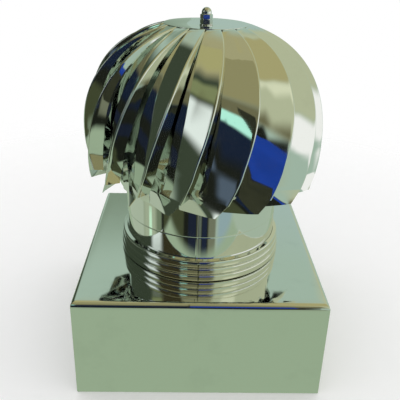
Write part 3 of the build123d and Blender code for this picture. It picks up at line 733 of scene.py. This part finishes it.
class Nodes:
    """A node tree that nodes are added to by type, settings and socket values or links."""

    def __init__(self, tree):
        self.tree = tree

    def add(self, kind, settings=None, sockets=None):
        """A new node with its settings, its sockets linked to terms or set to values."""
        node = self.tree.nodes.new(kind)
        for key, value in (settings or {}).items():
            setattr(node, key, value)
        for key, value in (sockets or {}).items():
            if isinstance(value, Term):
                self.tree.links.new(value.socket, node.inputs[key])
            else:
                node.inputs[key].default_value = value
        return Outputs(self, node)

    def noise(self, place, scale, detail, rough):
        """Noise of a scale in cycles per metre."""
        sockets = {"Vector": place, "Scale": scale, "Detail": detail, "Roughness": rough}
        return self.add("ShaderNodeTexNoise", {}, sockets)["Fac"]

    def streaks(self, place, scale):
        """Noise with a scale of its own along each axis, so it runs in fine lines."""
        stretched = self.add("ShaderNodeMapping", {}, {"Vector": place, "Scale": scale})["Vector"]
        return self.noise(stretched, 1.0, 2.0, 0.6)

    def between(self, value, low, high):
        """Smooth step of a value from 0 at low to 1 at high."""
        step = {"interpolation_type": "SMOOTHSTEP"}
        sockets = {"Value": value, "From Min": low, "From Max": high}
        return self.add("ShaderNodeMapRange", step, sockets)["Result"]

    def blend(self, share, first, second):
        """Colour that goes from the first to the second with the share."""
        return self.add("ShaderNodeMix", {"data_type": "RGBA"}, {0: share, 6: first, 7: second})[2]

    def either(self, share, first, second):
        """Shader that goes from the first to the second with the share."""
        return self.add("ShaderNodeMixShader", {}, {0: share, 1: first, 2: second})[0]

    def glow(self, tone):
        """Plain emission of a colour."""
        return self.add("ShaderNodeEmission", {}, {"Color": tone, "Strength": 1.0})[0]

    def backdrop(self, tone):
        """World background of a colour."""
        return self.add("ShaderNodeBackground", {}, {"Color": tone, "Strength": 1.0})[0]

    def in_reflections(self):
        """1 for the rays of a reflection, 0 for all others."""
        return self.add("ShaderNodeLightPath")["Is Glossy Ray"]


class Outputs:
    """The outputs of a node by name or number, as terms."""

    def __init__(self, nodes, node):
        self.nodes, self.node = nodes, node

    def __getitem__(self, key):
        return Term(self.nodes, self.node.outputs[key])


def colour(red, green, blue):
    """A colour from its linear values of 0 to 1."""
    return (red, green, blue, 1.0)


def shade(*screen):
    """A colour from its screen values of 0 to 255."""
    return colour(*[((value / 255 + 0.055) / 1.055) ** 2.4 for value in screen])


def new_material(name):
    """An empty material with its tree and the object's own coordinates."""
    material = bpy.data.materials.new(name)
    material.use_nodes = True
    material.node_tree.nodes.clear()
    nodes = Nodes(material.node_tree)
    place = nodes.add("ShaderNodeTexCoord")["Object"]
    return material, nodes, place


def finish_metal(nodes, base, roughness, bump, strength, distance):
    """Principled metal from a base colour, a roughness and a height."""
    height = {"Height": bump, "Strength": strength, "Distance": distance}
    sockets = {"Base Color": base, "Metallic": 1.0, "Roughness": roughness}
    sockets["Normal"] = nodes.add("ShaderNodeBump", {}, height)["Normal"]
    shader = nodes.add("ShaderNodeBsdfPrincipled", {}, sockets)["BSDF"]
    nodes.add("ShaderNodeOutputMaterial", {}, {"Surface": shader})


def polished_sheet(name, warp):
    """Mirror-polished stainless sheet: oil-canning, faint polishing lines, handling smudges."""
    material, nodes, place = new_material(name)
    waves = nodes.noise(place, 11.0, 0.0, 0.4)
    lines = nodes.streaks(place, (900.0, 900.0, 14.0))
    smudge = nodes.between(nodes.noise(place, 22.0, 4.0, 0.6), 0.52, 0.72)
    specks = nodes.between(nodes.noise(place, 420.0, 2.0, 0.5), 0.70, 0.78)
    roughness = 0.035 + 0.05 * smudge + 0.03 * lines + 0.10 * specks
    clean, dulled = colour(0.83, 0.85, 0.84), colour(0.7719, 0.7905, 0.7812)
    base = nodes.blend(smudge * 0.5 + specks * 0.3, clean, dulled)
    finish_metal(nodes, base, roughness, waves * warp + lines * 0.006, 0.12, 0.0006)
    return material


def turned_steel(name, tint, rough):
    """Machined or plated steel: fine tool lines round it, a dull patchiness, small dark specks."""
    material, nodes, place = new_material(name)
    lines = nodes.streaks(place, (60.0, 60.0, 2600.0))
    patch = nodes.between(nodes.noise(place, 60.0, 3.0, 0.6), 0.35, 0.7)
    specks = nodes.between(nodes.noise(place, 900.0, 1.0, 0.5), 0.68, 0.76)
    dulled = colour(*[value * 0.72 for value in tint])
    base = nodes.blend(patch * 0.4 + specks * 0.5, colour(*tint), dulled)
    finish_metal(nodes, base, rough + 0.12 * lines + 0.10 * patch, lines, 0.25, 0.00005)
    return material


def bright_fastener(name):
    """Polished stainless fastener: clear mirror, finely rubbed all over, with random patches of
    grime.
    """
    material, nodes, place = new_material(name)
    rub = nodes.noise(place, 700.0, 3.0, 0.55)
    grime = nodes.between(nodes.noise(place, 160.0, 3.0, 0.6), 0.52, 0.75)
    base = nodes.blend(grime * 0.45, colour(0.80, 0.81, 0.82), colour(0.34, 0.33, 0.30))
    finish_metal(nodes, base, 0.07 + 0.10 * rub + 0.15 * grime, rub, 0.2, 0.00003)
    return material


# Studio


def make_world():
    """Studio round the object: even white light, and a room of coloured cards for reflections."""
    world = bpy.data.worlds.new("studio")
    bpy.context.scene.world = world
    world.use_nodes = True
    world.node_tree.nodes.clear()
    nodes = Nodes(world.node_tree)
    way = nodes.add("ShaderNodeTexCoord")["Generated"]
    parts = nodes.add("ShaderNodeSeparateXYZ", {}, {0: way})
    in_degrees = 180 / math.pi
    rise = nodes.add("ShaderNodeMath", {"operation": "ARCSINE"}, {0: parts[2]})[0] * in_degrees
    front = 0 - parts[1]
    bearing = nodes.add("ShaderNodeMath", {"operation": "ARCTAN2"}, {0: parts[0], 1: front})[0]
    side = bearing * in_degrees

    def within(value, span, soft):
        """1 inside a span and 0 outside it, its ends softened."""
        rising = nodes.between(value, span[0] - soft, span[0] + soft)
        return rising * nodes.between(value, span[1] + soft, span[1] - soft)

    low_back, high_back = shade(170, 192, 174), shade(172, 168, 126)
    room = nodes.blend(nodes.between(rise, 35.0, 60.0), low_back, high_back)
    for sides, rises, soft, tone in ROOM_CARDS:
        covered = within(side, sides, soft) * within(rise, rises, soft)
        room = nodes.blend(covered, room, shade(*tone))
    even = nodes.backdrop(colour(1.0, 1.0, 1.0))
    mixed = nodes.either(nodes.in_reflections(), even, nodes.backdrop(room))
    nodes.add("ShaderNodeOutputWorld", {}, {"Surface": mixed})


def make_floor():
    """White floor that fades into the white backdrop. In reflections it is a pale green stand."""
    half, level = 3.0, cad_low.z - 0.5 * MM
    points = np.array([
        [-half, -half, level], [half, -half, level], [half, half, level], [-half, half, level],
    ])
    floor = mesh_piece("floor", points, np.array([[0, 1, 2, 3]]))
    material, nodes, place = new_material("floor_white")
    parts = nodes.add("ShaderNodeSeparateXYZ", {}, {0: place})
    across = nodes.add("ShaderNodeMath", {"operation": "ABSOLUTE"}, {0: parts[0]})[0]
    stand = nodes.between(across, 0.36, 0.32) * nodes.between(parts[1], -0.40, -0.34)
    distance = nodes.add("ShaderNodeVectorMath", {"operation": "LENGTH"}, {0: place})["Value"]
    grain = nodes.noise(place, 40.0, 3.0, 0.5)
    tint = nodes.blend(grain, colour(0.96, 0.96, 0.96), colour(0.98, 0.98, 0.98))
    look = {"Base Color": tint, "Roughness": 0.9}
    matt = nodes.add("ShaderNodeBsdfPrincipled", {}, look)["BSDF"]
    clear = nodes.add("ShaderNodeBsdfTransparent")[0]
    seen = nodes.either(nodes.between(distance, 0.5, 1.1), matt, clear)
    mirrored = nodes.either(stand, clear, nodes.glow(shade(160, 180, 150)))
    mixed = nodes.either(nodes.in_reflections(), seen, mirrored)
    nodes.add("ShaderNodeOutputMaterial", {}, {"Surface": mixed})
    floor.data.materials.append(material)


def make_card(name, points, finish, scale, first, second):
    """Upright card in front of the object that only reflections see, in two tones of one cloth."""
    card = mesh_piece(name, np.array(points), np.array([[0, 1, 2, 3]]))
    material, nodes, place = new_material(finish)
    tone = nodes.blend(nodes.noise(place, scale, 2.0, 0.5), shade(*first), shade(*second))
    clear = nodes.add("ShaderNodeBsdfTransparent")[0]
    mixed = nodes.either(nodes.in_reflections(), clear, nodes.glow(tone))
    nodes.add("ShaderNodeOutputMaterial", {}, {"Surface": mixed})
    card.data.materials.append(material)


def make_side_card():
    """Blue card to the right of the front."""
    left, right, low, high, away = -0.01, 0.228, 0.10, 0.375, -0.725
    points = [[left, away, low], [left, away, high], [right, away, high], [right, away, low]]
    make_card("side_card", points, "card_blue", 9.0, (26, 56, 132), (34, 70, 168))


def make_side_screen():
    """Dark screen square to the blue card, so the left-hand vanes don't mirror it."""
    across, near, away, low, high = -0.012, -0.26, -0.725, 0.12, 0.46
    points = [[across, near, low], [across, away, low], [across, away, high], [across, near, high]]
    make_card("side_screen", points, "screen_dark", 6.0, (30, 34, 26), (64, 66, 48))


def make_camera():
    """Camera at the photograph's place, from its pitch, yaw and roll."""
    pitch, yaw, roll = (math.radians(angle) for angle in (CAMERA_PITCH, CAMERA_YAW, CAMERA_ROLL))
    level = math.cos(pitch)
    ahead = Vector((math.sin(yaw) * level, math.cos(yaw) * level, -math.sin(pitch)))
    right = Vector((math.cos(yaw), -math.sin(yaw), 0))
    up = right.cross(ahead)
    tilted_right = right * math.cos(roll) + up * math.sin(roll)
    tilted_up = up * math.cos(roll) - right * math.sin(roll)
    camera = bpy.data.objects.new("camera", bpy.data.cameras.new("camera"))
    bpy.context.scene.collection.objects.link(camera)
    turn = Matrix((tilted_right, tilted_up, -ahead)).transposed().to_4x4()
    camera.matrix_world = Matrix.Translation(Vector(CAMERA_PLACE)) @ turn
    camera.data.sensor_width = SENSOR
    camera.data.lens = IMAGE_FOCAL / IMAGE_SIZE * SENSOR
    camera.data.shift_x = -(IMAGE_CENTRE[0] - IMAGE_SIZE / 2) / IMAGE_SIZE
    camera.data.shift_y = -(IMAGE_SIZE / 2 - IMAGE_CENTRE[1]) / IMAGE_SIZE
    bpy.context.scene.camera = camera


# Put together

sheet = polished_sheet("polished_sheet", 5.4)
plate = polished_sheet("polished_plate", 3.6)
plated = turned_steel("plated_steel", (0.62, 0.63, 0.64), 0.22)
ground = turned_steel("ground_steel", (0.70, 0.71, 0.73), 0.12)
brass = turned_steel("cage_brass", (0.72, 0.55, 0.28), 0.25)
bright = bright_fastener("bright_fastener")

pieces = [(piece, "head", "polished_sheet", sheet) for piece in make_vanes()]
for made, node, body, slot, finish in (
    (make_box(), "base_box", "base", "polished_sheet", plate),
    (make_collar(), "collar", "base", "polished_sheet", sheet),
    (make_neck(), "neck_tube", "base", "polished_sheet", sheet),
    (make_ring(), "bottom_ring", "head", "polished_sheet", sheet),
    (make_cap(), "crown_cap", "head", "polished_sheet", sheet),
    (make_rivets(), "vane_rivets", "head", "bright_fastener", bright),
    (make_washer(), "top_washer", "head", "bright_fastener", bright),
    (make_top_nut(), "top_nut", "head", "bright_fastener", bright),
    (make_acorn(), "acorn_nut", "head", "bright_fastener", bright),
):
    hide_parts(node)
    pieces.append((made, body, slot, finish))
for piece, body, slot, material in pieces:
    piece.data.materials.clear()
    piece.data.materials.append(material)
    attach(piece, body)

slot_of = {entry["node"]: entry["material_slot"] for entry in frame["record"]["subparts"]}
finish_of = {
    "polished_sheet": sheet,
    "zinc_steel": plated,
    "bearing_steel": ground,
    "bright_fastener": bright,
    "cage_brass": brass,
}
for name, node in frame["nodes"].items():
    node.data.materials.clear()
    node.data.materials.append(finish_of[slot_of[name]])

make_world()
make_floor()
make_side_card()
make_side_screen()
make_camera()
bpy.context.scene.view_settings.view_transform = "Standard"
